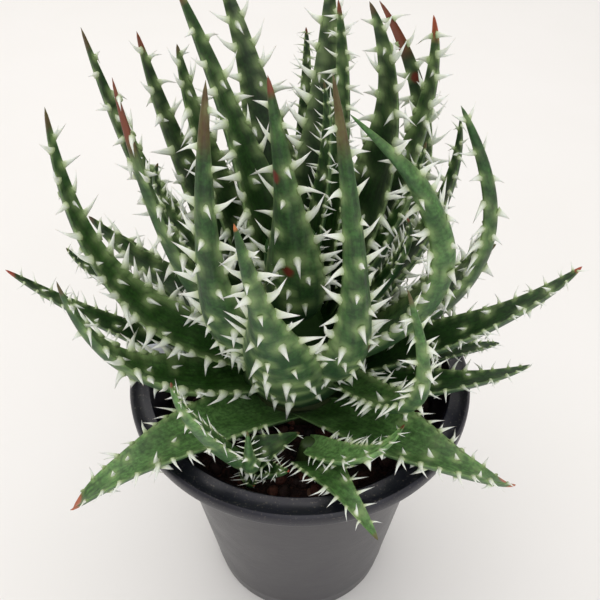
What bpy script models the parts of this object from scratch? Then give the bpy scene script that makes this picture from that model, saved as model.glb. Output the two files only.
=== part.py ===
"""A potted aloe: a toothed succulent rosette with two offsets, in a round nursery pot.

Blender 4.5 script, in metres with +Z up. The origin is the centre of the pot's foot.
Every leaf, head, fill, label and pot is one closed solid in an object of its own.
"""

import math
from dataclasses import dataclass

import bmesh
import bpy
from mathutils import Matrix, Vector

MM = 0.001
GAP = 0.3  # clearance between neighbouring solids, in millimetres like all sizes below
FACET_SAG = 0.2  # how far a round wall's flat facets fall inside its true radius

# Pot
RIM_RADIUS = 65.0
POT_HEIGHT = 120.0
MOUTH_RADIUS = 57.0
LIP_DEPTH = 5.5
COLLAR_RADIUS = 53.5  # outside of the wall, just under the rim
COLLAR_HEIGHT = 110.0
WALL = 1.6
FLARE_OUT = 4.0  # reach and rise of the flare that carries the rim
FLARE_UP = 6.5
RIM_SKIRT = 2.0  # width of the skirt that hangs from the rim's outer edge
RIM_DISH = 0.6  # sink of the rim's top between its two raised edges
RIM_EDGE = 1.5  # width of each raised edge
POT_ROUNDING = 1.0
FOOT_RADIUS = 40.0
FOOT_RING_WIDTH = 4.0
FLOOR_UNDERSIDE = 3.0
FLOOR_TOP = 5.0
DRAIN_COUNT = 6
DRAIN_RADIUS = 4.0
DRAIN_CIRCLE = 25.0
DRAIN_SEGMENTS = 12
POT_SEGMENTS = 48

# Growing medium
SOIL_TOP = 108.0
SOIL_SHOULDER = (2.5, 1.5)  # width and depth of the slope at the fill's edge
SOIL_SEGMENTS = 36

# Heads
HEAD_SEGMENTS = 20
HEAD_CREST = 0.45  # rise of the rounded top, as a share of its radius
HEAD_FOOT_STEP = (0.5, 1.5)

# Plant label, a blank plastic stake
LABEL_WIDTH = 9.0
LABEL_THICKNESS = 0.8
LABEL_LENGTH = 50.0
LABEL_POINT = 9.0
LABEL_CORNER = 1.5
LABEL_TOP = (-53.5, -2.5, 135.0)
LABEL_LEAN = 15.0  # degrees, outwards

# Leaves
SECTION = (  # side, lift and depth of each corner of the cross-section, going round it
    (-1.0, 1.0, 0.0),
    (0.0, 0.0, 0.0),
    (1.0, 1.0, 0.0),
    (0.58, 0.3, 0.78),
    (0.0, 0.0, 1.0),
    (-0.58, 0.3, 0.78),
)
MARGIN_CORNERS = (0, 2)
CHANNEL_DEPTH = 0.3  # rise of the margins over the channel, as a share of the half width
ROOT_SHARE = 0.3  # the toothless stretch near the seat
TIP_SHARE = 0.95
ROOT_STATIONS = 3
ROOT_WIDTH = 0.42
ROOT_THICKNESS = 0.65
WIDTH_TAPER = 0.8
WAIST = 0.5  # how much narrower the drawn-out tip is than an even taper
WAIST_START = 0.45
THICKNESS_TAPER = 0.6
TOOTH_PITCH = 8.0
TOOTH_HEIGHT = 3.0
TOOTH_TAPER = 0.4  # how fast the teeth shorten towards the tip
FULL_WIDTH = 20.0  # a leaf at least this wide has teeth of the full height
SEAT_GAP = 0.6
FACE_UP = 0.8  # how far upper faces look up rather than in towards the head
FACE_IN = 0.6


@dataclass(frozen=True)
class Head:
    """A growing point: the blunt cone of packed leaf bases that carries the leaves."""

    name: str
    centre: tuple
    foot_radius: float
    top_radius: float
    height: float

    def radius(self, z: float) -> float:
        """Return the cone's radius at height z."""
        share = min(max((z - SOIL_TOP) / self.height, 0.0), 1.0)
        return self.foot_radius + (self.top_radius - self.foot_radius) * share

    def normal(self, heading: float) -> Vector:
        """Return the outward normal of the cone at a heading in degrees."""
        turn = math.radians(heading)
        slope = (self.foot_radius - self.top_radius) / self.height
        return Vector((math.cos(turn), math.sin(turn), slope)).normalized()


@dataclass(frozen=True)
class Leaf:
    """A leaf: where it is seated on its head, the point its middle arches through, its tip."""

    name: str
    head: Head
    heading: float  # degrees round the head, from +X towards +Y
    seat_height: float
    middle: tuple
    tip: tuple
    width: float
    thickness: float
    facing: float | None = None  # heading that its outer face looks to, if not straight out


MAIN = Head("main_head", (-2.0, 4.0), 23.0, 7.0, 44.0)
WEST = Head("west_offset_head", (-17.0, -40.0), 5.0, 3.0, 12.0)
SOUTH = Head("south_offset_head", (3.0, -36.0), 5.0, 3.0, 12.0)

LEAVES = (
    # outermost leaves, low over the rim, clockwise from the west
    Leaf("outer_leaf_01", MAIN, 185, 112, (-70, 7, 134), (-98.5, -3, 171), 16, 5),
    Leaf("outer_leaf_02", MAIN, 170, 119, (-67, 18, 142), (-85, 18, 164), 12, 4),
    Leaf("outer_leaf_03", MAIN, 156, 112, (-54, 34, 135), (-77.5, 42, 155), 20, 6),
    Leaf("outer_leaf_04", MAIN, 130, 118, (-40, 46, 140), (-58, 66, 158), 22, 6),
    Leaf("outer_leaf_05", MAIN, 102, 112, (-14, 54, 133), (-22, 76, 156), 22, 6),
    Leaf("outer_leaf_06", MAIN, 73, 118, (16, 55, 139), (24, 76, 157), 22, 6),
    Leaf("outer_leaf_07", MAIN, 49, 112, (42, 44, 134), (62, 60, 143), 22, 6),
    Leaf("outer_leaf_08", MAIN, 18.5, 112, (53.5, 28, 132.5), (76, 32, 155), 18, 6),
    Leaf("outer_leaf_09", MAIN, 351.5, 119, (64, -4.6, 146.4), (95.5, 0, 170), 22, 6),
    Leaf("outer_leaf_10", MAIN, 1, 112, (57, 0, 128), (75, 1, 132), 12, 4),
    Leaf("outer_leaf_11", MAIN, 340, 112.8, (53, -16.2, 128.3), (84, -11, 133), 21, 5),
    Leaf("outer_leaf_12", MAIN, 306, 112, (43, -45, 126), (70, -53, 120), 27, 6),
    Leaf("outer_leaf_13", MAIN, 242, 112, (-47, -44, 126), (-74, -60, 117), 25, 6),
    Leaf("outer_leaf_14", MAIN, 202, 119, (-56, -20, 140), (-70, -30, 189), 26, 6),
    # middle leaves
    Leaf("middle_leaf_01", MAIN, 190, 126, (-63, 1.5, 158.5), (-72, 0, 228), 22, 6, 155),
    Leaf("middle_leaf_02", MAIN, 147, 125, (-53, 21, 148), (-74, 18, 178), 22, 6),
    Leaf("middle_leaf_03", MAIN, 194, 132, (-37, -7, 172), (-50, -5, 239), 18, 6),
    Leaf("middle_leaf_04", MAIN, 167, 132.5, (-47.5, 22, 173), (-65, 25, 241), 14, 5),
    Leaf("middle_leaf_05", MAIN, 128.5, 132, (-37, 30, 179), (-51, 35, 236), 20, 6),
    Leaf("middle_leaf_06", MAIN, 173, 138, (-42.5, 11.5, 177), (-46, 15, 201), 11, 4),
    Leaf("middle_leaf_07", MAIN, 264, 118, (-9, -38.6, 172.5), (-16, -45, 220), 33, 7),
    Leaf("middle_leaf_08", MAIN, 228.5, 138, (-25.3, -26.5, 173.1), (-23, -20, 245), 16.5, 6, 262),
    Leaf("middle_leaf_09", MAIN, 306, 132, (17.5, -28.5, 167.5), (8, -18, 246), 26, 7),
    Leaf("middle_leaf_10", MAIN, 350, 125, (45.5, -11, 178.5), (13, -12, 232), 22, 7),
    Leaf("middle_leaf_11", MAIN, 24, 119, (63, 12.5, 160), (49, 15, 221), 17, 6, 335),
    Leaf("middle_leaf_12", MAIN, 30, 125, (45.5, 19, 171), (52, 25, 212), 14, 5),
    Leaf("middle_leaf_13", MAIN, 358, 138, (31, 10.5, 176.5), (41, 20, 206), 11, 5),
    Leaf("middle_leaf_14", MAIN, 0, 131, (32, -0.5, 169), (34, 0, 190), 12, 4),
    Leaf("middle_leaf_15", MAIN, 324.3, 125.8, (36.3, -39.4, 146.5), (29, -40, 195), 14.5, 5),
    # innermost leaves, standing round the heart
    Leaf("inner_leaf_01", MAIN, 133, 138, (-30, 24, 192.5), (-38, 30, 234), 14, 5),
    Leaf("inner_leaf_02", MAIN, 120, 144, (-18, 19.5, 198), (-35, 20, 256), 20, 6),
    Leaf("inner_leaf_03", MAIN, 96, 132, (-13.5, 38, 204), (-26, 45, 252), 20, 6),
    Leaf("inner_leaf_04", MAIN, 262, 150, (-3.5, -2.5, 186), (-9, 3, 236), 23, 6),
    Leaf("inner_leaf_05", MAIN, 101, 118, (1, 46, 192), (2, 52, 231), 10, 4),
    Leaf("inner_leaf_06", MAIN, 86.5, 138, (7.5, 30, 207.5), (9, 40, 251), 17, 5),
    Leaf("inner_leaf_07", MAIN, 30, 144, (13.5, 18.5, 203.5), (11, 25, 249), 12, 5),
    Leaf("inner_leaf_08", MAIN, 66, 150, (8, 12, 198), (7, 12, 230), 10, 4),
    Leaf("inner_leaf_09", MAIN, 50, 138, (28.5, 27, 198), (21, 35, 245), 23, 6),
    Leaf("inner_leaf_10", MAIN, 56, 125, (44.5, 41.5, 179.5), (25, 45, 242), 18, 6),
    Leaf("inner_leaf_11", MAIN, 38, 132, (38.5, 29.5, 196), (41, 35, 241), 14, 5),
    Leaf("heart_leaf_1", MAIN, 345, 150, (6, 2, 168), (4, 2, 184), 9, 4),
    Leaf("heart_leaf_2", MAIN, 160, 150, (-10.5, 4, 167), (-10.5, 3, 180), 9, 4),
    # leaves of the offsets
    Leaf("west_offset_leaf_1", WEST, 205, 114, (-31.5, -51.5, 148.5), (-37, -50, 168), 14, 4),
    Leaf("west_offset_leaf_2", WEST, 292, 116.3, (-16, -50, 128), (-16, -52, 148), 8.5, 4),
    Leaf("west_offset_leaf_3", WEST, 30, 116, (-9, -37, 120), (0, -33, 122), 16, 4),
    Leaf("west_offset_leaf_4", WEST, 338, 111.5, (-8.5, -47, 119), (-3.5, -50.5, 125), 9.5, 4),
    Leaf("west_offset_leaf_5", WEST, 255, 110.5, (-17.5, -48, 113.5), (-15, -52.3, 119), 8, 3),
    Leaf("south_offset_leaf_1", SOUTH, 285, 112, (11.2, -54, 123.5), (24, -73, 121), 18, 5),
    Leaf("south_offset_leaf_2", SOUTH, 354, 119.3, (20.5, -51.3, 134.8), (33.5, -43.5, 140.5), 12, 4),
)


def linear_colour(code: str) -> tuple:
    """Turn an sRGB hex code into the linear RGBA that a shader socket takes."""
    channels = [int(code[i : i + 2], 16) / 255 for i in (0, 2, 4)]
    return tuple(
        c / 12.92 if c <= 0.04045 else ((c + 0.055) / 1.055) ** 2.4 for c in channels
    ) + (1.0,)


def make_material(name: str, code: str, roughness: float) -> bpy.types.Material:
    """Make a plain dielectric material."""
    material = bpy.data.materials.new(name)
    material.use_nodes = True
    shader = material.node_tree.nodes["Principled BSDF"]
    shader.inputs["Base Color"].default_value = linear_colour(code)
    shader.inputs["Roughness"].default_value = roughness
    shader.inputs["Metallic"].default_value = 0.0
    return material


def add_object(name: str, bm: bmesh.types.BMesh, material=None) -> bpy.types.Object:
    """Scale a millimetre mesh to metres and link it as an object shaded by angle."""
    bmesh.ops.scale(bm, vec=(MM, MM, MM), verts=bm.verts)
    mesh = bpy.data.meshes.new(name)
    bm.to_mesh(mesh)
    bm.free()
    mesh.shade_smooth()
    mesh.set_sharp_from_angle(angle=math.radians(40))
    obj = bpy.data.objects.new(name, mesh)
    bpy.context.scene.collection.objects.link(obj)
    if material:
        mesh.materials.append(material)
    return obj


def turned(profile: list, segments: int, centre: tuple = (0.0, 0.0)) -> bmesh.types.BMesh:
    """Turn (radius, height) points, running from axis to axis, into a closed solid."""
    bm = bmesh.new()
    verts = [bm.verts.new((r, 0.0, z)) for r, z in profile]
    edges = [bm.edges.new(pair) for pair in zip(verts, verts[1:])]
    bmesh.ops.spin(
        bm,
        geom=verts + edges,
        cent=(0, 0, 0),
        axis=(0, 0, 1),
        angle=math.tau,
        steps=segments,
        use_merge=True,
    )
    bmesh.ops.remove_doubles(bm, verts=bm.verts, dist=0.001)
    bmesh.ops.recalc_face_normals(bm, faces=bm.faces)
    bmesh.ops.translate(bm, vec=(*centre, 0.0), verts=bm.verts)
    return bm


def cut(obj: bpy.types.Object, cutter: bpy.types.Object) -> None:
    """Cut obj with a closed cutter, which stays in the file as a hidden guide."""
    cutter.hide_render = True
    cutter.display_type = "WIRE"
    boolean = obj.modifiers.new(f"cut_by_{cutter.name}", "BOOLEAN")
    boolean.operation = "DIFFERENCE"
    boolean.object = cutter


def wall_radius(z: float) -> float:
    """Return the radius of the pot wall's outside at height z, below the rim."""
    return FOOT_RADIUS + (COLLAR_RADIUS - FOOT_RADIUS) * z / COLLAR_HEIGHT


def build_pot() -> bpy.types.Object:
    """Build the tapered pot: foot ring, drained floor, thin wall, wide rim with a skirt."""
    ring_inside = FOOT_RADIUS - FOOT_RING_WIDTH
    skirt_foot = POT_HEIGHT - LIP_DEPTH
    flare_top = COLLAR_HEIGHT + FLARE_UP
    rim_top = POT_HEIGHT - RIM_DISH
    profile = [
        (0.0, FLOOR_UNDERSIDE),
        (ring_inside - POT_ROUNDING, FLOOR_UNDERSIDE),
        (ring_inside, 0.0),
        (FOOT_RADIUS - POT_ROUNDING / 2, 0.0),
        (wall_radius(POT_ROUNDING / 2), POT_ROUNDING / 2),
        (COLLAR_RADIUS, COLLAR_HEIGHT),
        (COLLAR_RADIUS + 0.4 * FLARE_OUT, COLLAR_HEIGHT + 0.6 * FLARE_UP),
        (COLLAR_RADIUS + FLARE_OUT, flare_top),
        (RIM_RADIUS - RIM_SKIRT, flare_top),
        (RIM_RADIUS - RIM_SKIRT, skirt_foot),
        (RIM_RADIUS - POT_ROUNDING / 2, skirt_foot),
        (RIM_RADIUS, skirt_foot + POT_ROUNDING),
        (RIM_RADIUS, POT_HEIGHT - POT_ROUNDING),
        (RIM_RADIUS - POT_ROUNDING, POT_HEIGHT),
        (RIM_RADIUS - POT_ROUNDING - RIM_EDGE, rim_top),
        (MOUTH_RADIUS + RIM_EDGE, rim_top),
        (MOUTH_RADIUS + POT_ROUNDING / 2, POT_HEIGHT),
        (MOUTH_RADIUS, POT_HEIGHT - POT_ROUNDING),
        (COLLAR_RADIUS - WALL, COLLAR_HEIGHT),
        (wall_radius(FLOOR_TOP) - WALL, FLOOR_TOP),
        (0.0, FLOOR_TOP),
    ]
    material = make_material("pot_plastic", "3a3840", 0.42)
    pot = add_object("pot", turned(profile, POT_SEGMENTS), material)
    drains = bmesh.new()
    reach = 4 * (FLOOR_TOP - FLOOR_UNDERSIDE)  # clear of both faces of the floor
    for index in range(DRAIN_COUNT):
        turn = math.tau * index / DRAIN_COUNT
        place = Matrix.Translation(
            (DRAIN_CIRCLE * math.cos(turn), DRAIN_CIRCLE * math.sin(turn), FLOOR_TOP)
        )
        bmesh.ops.create_cone(
            drains,
            cap_ends=True,
            segments=DRAIN_SEGMENTS,
            radius1=DRAIN_RADIUS,
            radius2=DRAIN_RADIUS,
            depth=reach,
            matrix=place,
        )
    cut(pot, add_object("drain_cutter", drains))
    return pot


def label_outline(grow: float) -> list:
    """Return the label's outline, point down, grown outwards by grow."""
    half = LABEL_WIDTH / 2 + grow
    corner = LABEL_CORNER
    shoulder = LABEL_POINT - LABEL_LENGTH
    return [
        (0.0, -LABEL_LENGTH - 2 * grow),
        (half, shoulder - grow),
        (half, grow - corner),
        (half - corner, grow),
        (corner - half, grow),
        (-half, grow - corner),
        (-half, shoulder - grow),
    ]


def label_stake(name: str, grow: float, material=None) -> bpy.types.Object:
    """Build the label's stake, or its slot's cutter, standing at LABEL_TOP."""
    bm = bmesh.new()
    back = LABEL_THICKNESS / 2 + grow
    verts = [bm.verts.new((x, back, z)) for x, z in label_outline(grow)]
    face = bm.faces.new(verts)
    front = bmesh.ops.extrude_face_region(bm, geom=[face])["geom"]
    moved = [part for part in front if isinstance(part, bmesh.types.BMVert)]
    bmesh.ops.translate(bm, vec=(0.0, -2 * back, 0.0), verts=moved)
    bmesh.ops.recalc_face_normals(bm, faces=bm.faces)
    stake = add_object(name, bm, material)
    stake.rotation_euler = (0.0, -math.radians(LABEL_LEAN), 0.0)
    stake.location = Vector(LABEL_TOP) * MM
    return stake


def build_soil_and_label() -> None:
    """Build the growing medium, filled to just under the rim, with the label in its slot."""
    inset = WALL + GAP + FACET_SAG
    top_radius = wall_radius(SOIL_TOP) - inset
    shoulder_width, shoulder_depth = SOIL_SHOULDER
    profile = [
        (0.0, FLOOR_TOP + GAP),
        (wall_radius(FLOOR_TOP) - inset, FLOOR_TOP + GAP),
        (top_radius, SOIL_TOP - shoulder_depth),
        (top_radius - shoulder_width, SOIL_TOP),
        (0.0, SOIL_TOP),
    ]
    gritty = make_material("growing_medium", "321c19", 0.95)
    soil = add_object("growing_medium", turned(profile, SOIL_SEGMENTS), gritty)
    white = make_material("label_plastic", "c4c6d2", 0.35)
    label_stake("plant_label", 0.0, white)
    cut(soil, label_stake("label_slot_cutter", GAP))


def build_head(head: Head, material: bpy.types.Material) -> bpy.types.Object:
    """Build a head: a blunt cone that stands on the growing medium."""
    top = SOIL_TOP + head.height
    crest = HEAD_CREST * head.top_radius
    step_in, step_up = HEAD_FOOT_STEP
    profile = [
        (0.0, SOIL_TOP + GAP),
        (head.foot_radius - step_in, SOIL_TOP + GAP),
        (head.radius(SOIL_TOP + step_up), SOIL_TOP + step_up),
        (head.top_radius, top),
        (head.top_radius * math.sqrt(0.5), top + crest * math.sqrt(0.5)),
        (0.0, top + crest),
    ]
    return add_object(head.name, turned(profile, HEAD_SEGMENTS, head.centre), material)


@dataclass
class Station:
    """One cross-section of a leaf: its place along the midline and its local frame."""

    centre: Vector
    side: Vector
    upward: Vector
    half_width: float
    depth: float
    tooth: float

    def corner(self, index: int) -> Vector:
        """Return the place of one corner of the cross-section."""
        across, lift, down = SECTION[index]
        reach = self.half_width
        if index in MARGIN_CORNERS:
            reach += self.tooth
        rise = CHANNEL_DEPTH * self.half_width * lift - self.depth * down
        return self.centre + self.side * reach * across + self.upward * rise


def midline(leaf: Leaf) -> tuple:
    """Return the three control points of the leaf's arched midline."""
    turn = math.radians(leaf.heading)
    reach = leaf.head.radius(leaf.seat_height) + SEAT_GAP
    seat = Vector(
        (
            leaf.head.centre[0] + reach * math.cos(turn),
            leaf.head.centre[1] + reach * math.sin(turn),
            leaf.seat_height,
        )
    )
    tip = Vector(leaf.tip)
    arch = 2 * Vector(leaf.middle) - (seat + tip) / 2
    return seat, arch, tip


def outward(leaf: Leaf) -> Vector:
    """Return the level direction that the leaf's outer face looks to."""
    if leaf.facing is not None:
        turn = math.radians(leaf.facing)
        return Vector((math.cos(turn), math.sin(turn), 0.0))
    direction = Vector(leaf.middle) - Vector((*leaf.head.centre, 0.0))
    direction.z = 0.0
    return direction.normalized()


def smooth(value: float, low: float, high: float) -> float:
    """Return 0 below low, 1 above high, and a smooth rise between them."""
    share = min(max((value - low) / (high - low), 0.0), 1.0)
    return share * share * (3 - 2 * share)


def ease(share: float, reach: float) -> float:
    """Return 1 at the seat, falling smoothly to 0 at the share called reach."""
    return max(1.0 - share / reach, 0.0) ** 2


def station(leaf: Leaf, share: float, tooth: float) -> Station:
    """Work out the cross-section at a share of the leaf's midline."""
    seat, arch, tip = midline(leaf)
    rest = 1.0 - share
    centre = rest * rest * seat + 2 * rest * share * arch + share * share * tip
    along = (rest * (arch - seat) + share * (tip - arch)).normalized()
    if share == 0.0:
        along = leaf.head.normal(leaf.heading)
    facing = Vector((0, 0, FACE_UP)) - FACE_IN * outward(leaf)
    upward = (facing - facing.dot(along) * along).normalized()
    waist = 1 - WAIST * smooth(share, WAIST_START, 1.0)
    width = waist * rest**WIDTH_TAPER * (1 - (1 - ROOT_WIDTH) * ease(share, ROOT_SHARE))
    depth = rest**THICKNESS_TAPER * (1 - (1 - ROOT_THICKNESS) * ease(share, ROOT_SHARE))
    return Station(
        centre,
        along.cross(upward),
        upward,
        leaf.width / 2 * width,
        leaf.thickness * depth,
        tooth,
    )


def leaf_stations(leaf: Leaf) -> list:
    """List the cross-sections from seat to tip, with a tooth on every second one."""
    seat, arch, tip = midline(leaf)
    length = ((arch - seat).length + (tip - arch).length + (tip - seat).length) / 2
    teeth = max(2, round(length * (TIP_SHARE - ROOT_SHARE) / TOOTH_PITCH))
    shares = [ROOT_SHARE * i / ROOT_STATIONS for i in range(ROOT_STATIONS)]
    stations = [station(leaf, share, 0.0) for share in shares]
    steps = 2 * teeth
    tallest = TOOTH_HEIGHT * min(1.0, leaf.width / FULL_WIDTH)
    for step in range(steps + 1):
        share = ROOT_SHARE + (TIP_SHARE - ROOT_SHARE) * step / steps
        height = tallest * (1 - share) ** TOOTH_TAPER if step % 2 else 0.0
        stations.append(station(leaf, share, height))
    return stations


def build_leaf(leaf: Leaf, material: bpy.types.Material) -> bpy.types.Object:
    """Build a leaf by extruding its channelled cross-section along its midline."""
    stations = leaf_stations(leaf)
    bm = bmesh.new()
    corner = bm.verts.layers.int.new("corner")
    ring = bmesh.ops.create_circle(bm, cap_ends=True, segments=len(SECTION), radius=1.0)
    for index, vert in enumerate(ring["verts"]):
        vert[corner] = index
        vert.co = stations[0].corner(index)
    end = next(iter(bm.faces))
    for place in stations[1:]:
        loop = [end, *end.edges, *end.verts]
        grown = bmesh.ops.extrude_face_region(bm, geom=loop)["geom"]
        for vert in [part for part in grown if isinstance(part, bmesh.types.BMVert)]:
            vert.co = place.corner(vert[corner])
        end = next(part for part in grown if isinstance(part, bmesh.types.BMFace))
    bmesh.ops.pointmerge(bm, verts=end.verts[:], merge_co=Vector(leaf.tip))
    bmesh.ops.recalc_face_normals(bm, faces=bm.faces)
    return add_object(leaf.name, bm, material)


def clear_scene() -> None:
    """Remove whatever the file holds."""
    for obj in list(bpy.data.objects):
        bpy.data.objects.remove(obj)


def main() -> None:
    """Build the pot, what fills it, and the plant."""
    clear_scene()
    build_pot()
    build_soil_and_label()
    stem_green = make_material("leaf_base", "8a9a68", 0.6)
    for head in (MAIN, WEST, SOUTH):
        build_head(head, stem_green)
    for leaf in LEAVES:
        skin = make_material(f"skin_{leaf.name}", "4a6b3e", 0.5)
        build_leaf(leaf, skin)


main()
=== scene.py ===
"""Looks of a potted aloe: a toothed succulent rosette with two offsets, in a nursery pot.

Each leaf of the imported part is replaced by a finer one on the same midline, with curved
horny teeth along its margins, prickles on its faces and a coloured tip. The pot, the
growing medium, the label and the three heads are replaced in the same way. Sizes are in
millimetres until a mesh is finished, and then in metres, with +Z up.
"""

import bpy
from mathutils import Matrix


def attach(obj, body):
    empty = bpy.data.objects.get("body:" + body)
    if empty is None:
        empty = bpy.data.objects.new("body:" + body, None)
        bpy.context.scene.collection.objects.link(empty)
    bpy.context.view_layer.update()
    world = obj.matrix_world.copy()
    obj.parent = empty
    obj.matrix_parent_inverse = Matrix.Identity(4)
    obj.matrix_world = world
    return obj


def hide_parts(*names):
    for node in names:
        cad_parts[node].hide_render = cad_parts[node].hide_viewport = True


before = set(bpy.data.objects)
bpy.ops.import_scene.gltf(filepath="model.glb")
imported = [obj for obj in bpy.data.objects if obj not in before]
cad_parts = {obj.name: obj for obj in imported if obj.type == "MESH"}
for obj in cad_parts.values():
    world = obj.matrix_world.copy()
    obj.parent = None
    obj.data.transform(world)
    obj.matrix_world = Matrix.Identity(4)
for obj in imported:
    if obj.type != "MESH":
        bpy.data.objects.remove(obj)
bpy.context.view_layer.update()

import logging
import math
import random
from collections.abc import Iterator
from dataclasses import dataclass
from enum import Enum

import bmesh
import bpy
from mathutils import Matrix, Vector, noise

LOG = logging.getLogger("potted_aloe")
MM = 0.001
SOIL_TOP = 108.0
ROOT_BODY = "root"
FIRST_SEED = 100  # of the first leaf; each further leaf takes the next one
MERGE = 0.0005  # corners closer together than this are one

Colour = tuple[float, float, float, float]
Value = bpy.types.NodeSocket | float | str


# ---------------------------------------------------------------- helpers


def linear(code: str) -> Colour:
    """Turn an sRGB hex code into linear RGBA.

    Args:
        code: six hex digits.

    Returns:
        The colour that a shader socket takes.
    """
    channels = [int(code[i : i + 2], 16) / 255 for i in (0, 2, 4)]
    return tuple(
        c / 12.92 if c <= 0.04045 else ((c + 0.055) / 1.055) ** 2.4 for c in channels
    ) + (1.0,)


def smooth(value: float, low: float, high: float) -> float:
    """Return 0 below low, 1 above high, and a smooth rise between them."""
    share = min(max((value - low) / (high - low), 0.0), 1.0)
    return share * share * (3 - 2 * share)


def add_node(tree: bpy.types.NodeTree, kind: str, links: dict | None = None, **settings) -> bpy.types.Node:
    """Add a shader node with its settings, values and links.

    Args:
        tree: the node tree that gets it.
        kind: the node's type name, without "ShaderNode".
        links: input names or numbers, each with a value or another node's output.
        **settings: the node's own properties.

    Returns:
        The new node.
    """
    node = tree.nodes.new("ShaderNode" + kind)
    for key, value in settings.items():
        setattr(node, key, value)
    for key, value in (links or {}).items():
        if isinstance(value, bpy.types.NodeSocket):
            tree.links.new(value, node.inputs[key])
        else:
            node.inputs[key].default_value = value
    return node


class Finish:
    """A procedural material: a tree with a Principled shader, and short ways to colour it."""

    def __init__(self, name: str, roughness: float, ior: float = 1.46) -> None:
        """Start a dielectric material.

        Args:
            name: what the real material is.
            roughness: the typical value for its surface.
            ior: its index of refraction.
        """
        self.material = bpy.data.materials.new(name)
        self.material.use_nodes = True
        self.tree = self.material.node_tree
        self.shader = self.tree.nodes["Principled BSDF"]
        self.shader.inputs["Roughness"].default_value = roughness
        self.shader.inputs["IOR"].default_value = ior
        self.object_space = self.add("TexCoord").outputs["Object"]

    def add(self, kind: str, links: dict | None = None, **settings) -> bpy.types.Node:
        """Add a node to this material's tree."""
        return add_node(self.tree, kind, links, **settings)

    def attribute(self, name: str) -> bpy.types.NodeSocket:
        """Return the factor of a named attribute of the piece."""
        return self.add("Attribute", attribute_name=name).outputs["Fac"]

    def noise(
        self, size_mm: float, detail: float = 2.0, vector: bpy.types.NodeSocket | None = None
    ) -> bpy.types.NodeSocket:
        """Return a cloudy pattern.

        Args:
            size_mm: about how far its blotches are across.
            detail: how many finer patterns are laid over it.
            vector: the places it is read at, or nothing for the object's own.

        Returns:
            The pattern's factor.
        """
        links = {"Vector": vector or self.object_space, "Detail": detail}
        links["Scale"] = 1.0 / (size_mm * MM)
        return self.add("TexNoise", links).outputs["Fac"]

    def ramp(self, factor: bpy.types.NodeSocket, *stops: tuple) -> bpy.types.NodeSocket:
        """Return a colour ramp's output.

        Args:
            factor: what drives it.
            *stops: places with a hex colour or a grey level.

        Returns:
            The ramp's colour socket.
        """
        node = self.add("ValToRGB", {"Fac": factor})
        elements = node.color_ramp.elements
        while len(elements) < len(stops):
            elements.new(0.5)
        for element, (place, shade) in zip(elements, stops):
            element.position = place
            grey = (shade,) * 3 + (1.0,) if not isinstance(shade, str) else None
            element.color = grey or linear(shade)
        return node.outputs["Color"]

    def height(self) -> bpy.types.NodeSocket:
        """Return the height over the pot's foot, in metres."""
        return self.add("SeparateXYZ", {0: self.object_space}).outputs[2]

    def between(
        self, length: bpy.types.NodeSocket, zero_mm: float, one_mm: float
    ) -> bpy.types.NodeSocket:
        """Return an even rise from 0 where a length is zero_mm to 1 where it is one_mm."""
        links = {0: length, 1: zero_mm * MM, 2: one_mm * MM}
        return self.add("MapRange", links).outputs[0]

    def mix(
        self, factor: Value, first: Value, second: Value, blend: str = "MIX"
    ) -> bpy.types.NodeSocket:
        """Blend two colours.

        Args:
            factor: a socket or a number, 0 for the first colour alone.
            first: a socket or a hex code.
            second: another one.
            blend: the way the second is laid over the first.

        Returns:
            The blended colour.
        """
        node = self.add("Mix", data_type="RGBA", blend_type=blend)
        sockets = (node.inputs[0], node.inputs[6], node.inputs[7])
        for socket, value in zip(sockets, (factor, first, second)):
            if isinstance(value, bpy.types.NodeSocket):
                self.tree.links.new(value, socket)
            else:
                socket.default_value = linear(value) if isinstance(value, str) else value
        return node.outputs[2]

    def math(self, operation: str, *values: Value, clamp: bool = False) -> bpy.types.NodeSocket:
        """Return the result of a math node on sockets or numbers, clamped to 0 and 1 if asked."""
        links = dict(enumerate(values))
        return self.add("Math", links, operation=operation, use_clamp=clamp).outputs[0]

    def wire(self, name: str, socket: bpy.types.NodeSocket) -> None:
        """Feed one of the shader's sockets."""
        self.tree.links.new(socket, self.shader.inputs[name])

    def scatter(self, weight: float, radius: tuple[float, float, float], scale_mm: float) -> None:
        """Let light into the surface.

        Args:
            weight: the share of light that goes in.
            radius: how far each colour goes, as a share of the scale.
            scale_mm: the scale.
        """
        values = {"Weight": weight, "Radius": radius, "Scale": scale_mm * MM}
        for name, value in values.items():
            self.shader.inputs[f"Subsurface {name}"].default_value = value

    def bump(self, height: bpy.types.NodeSocket, depth_mm: float) -> None:
        """Raise and sink the surface by up to depth_mm."""
        links = {"Height": height, "Distance": depth_mm * MM, "Strength": 1.0}
        self.wire("Normal", self.add("Bump", links).outputs["Normal"])


# ---------------------------------------------------------------- finishes


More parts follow.
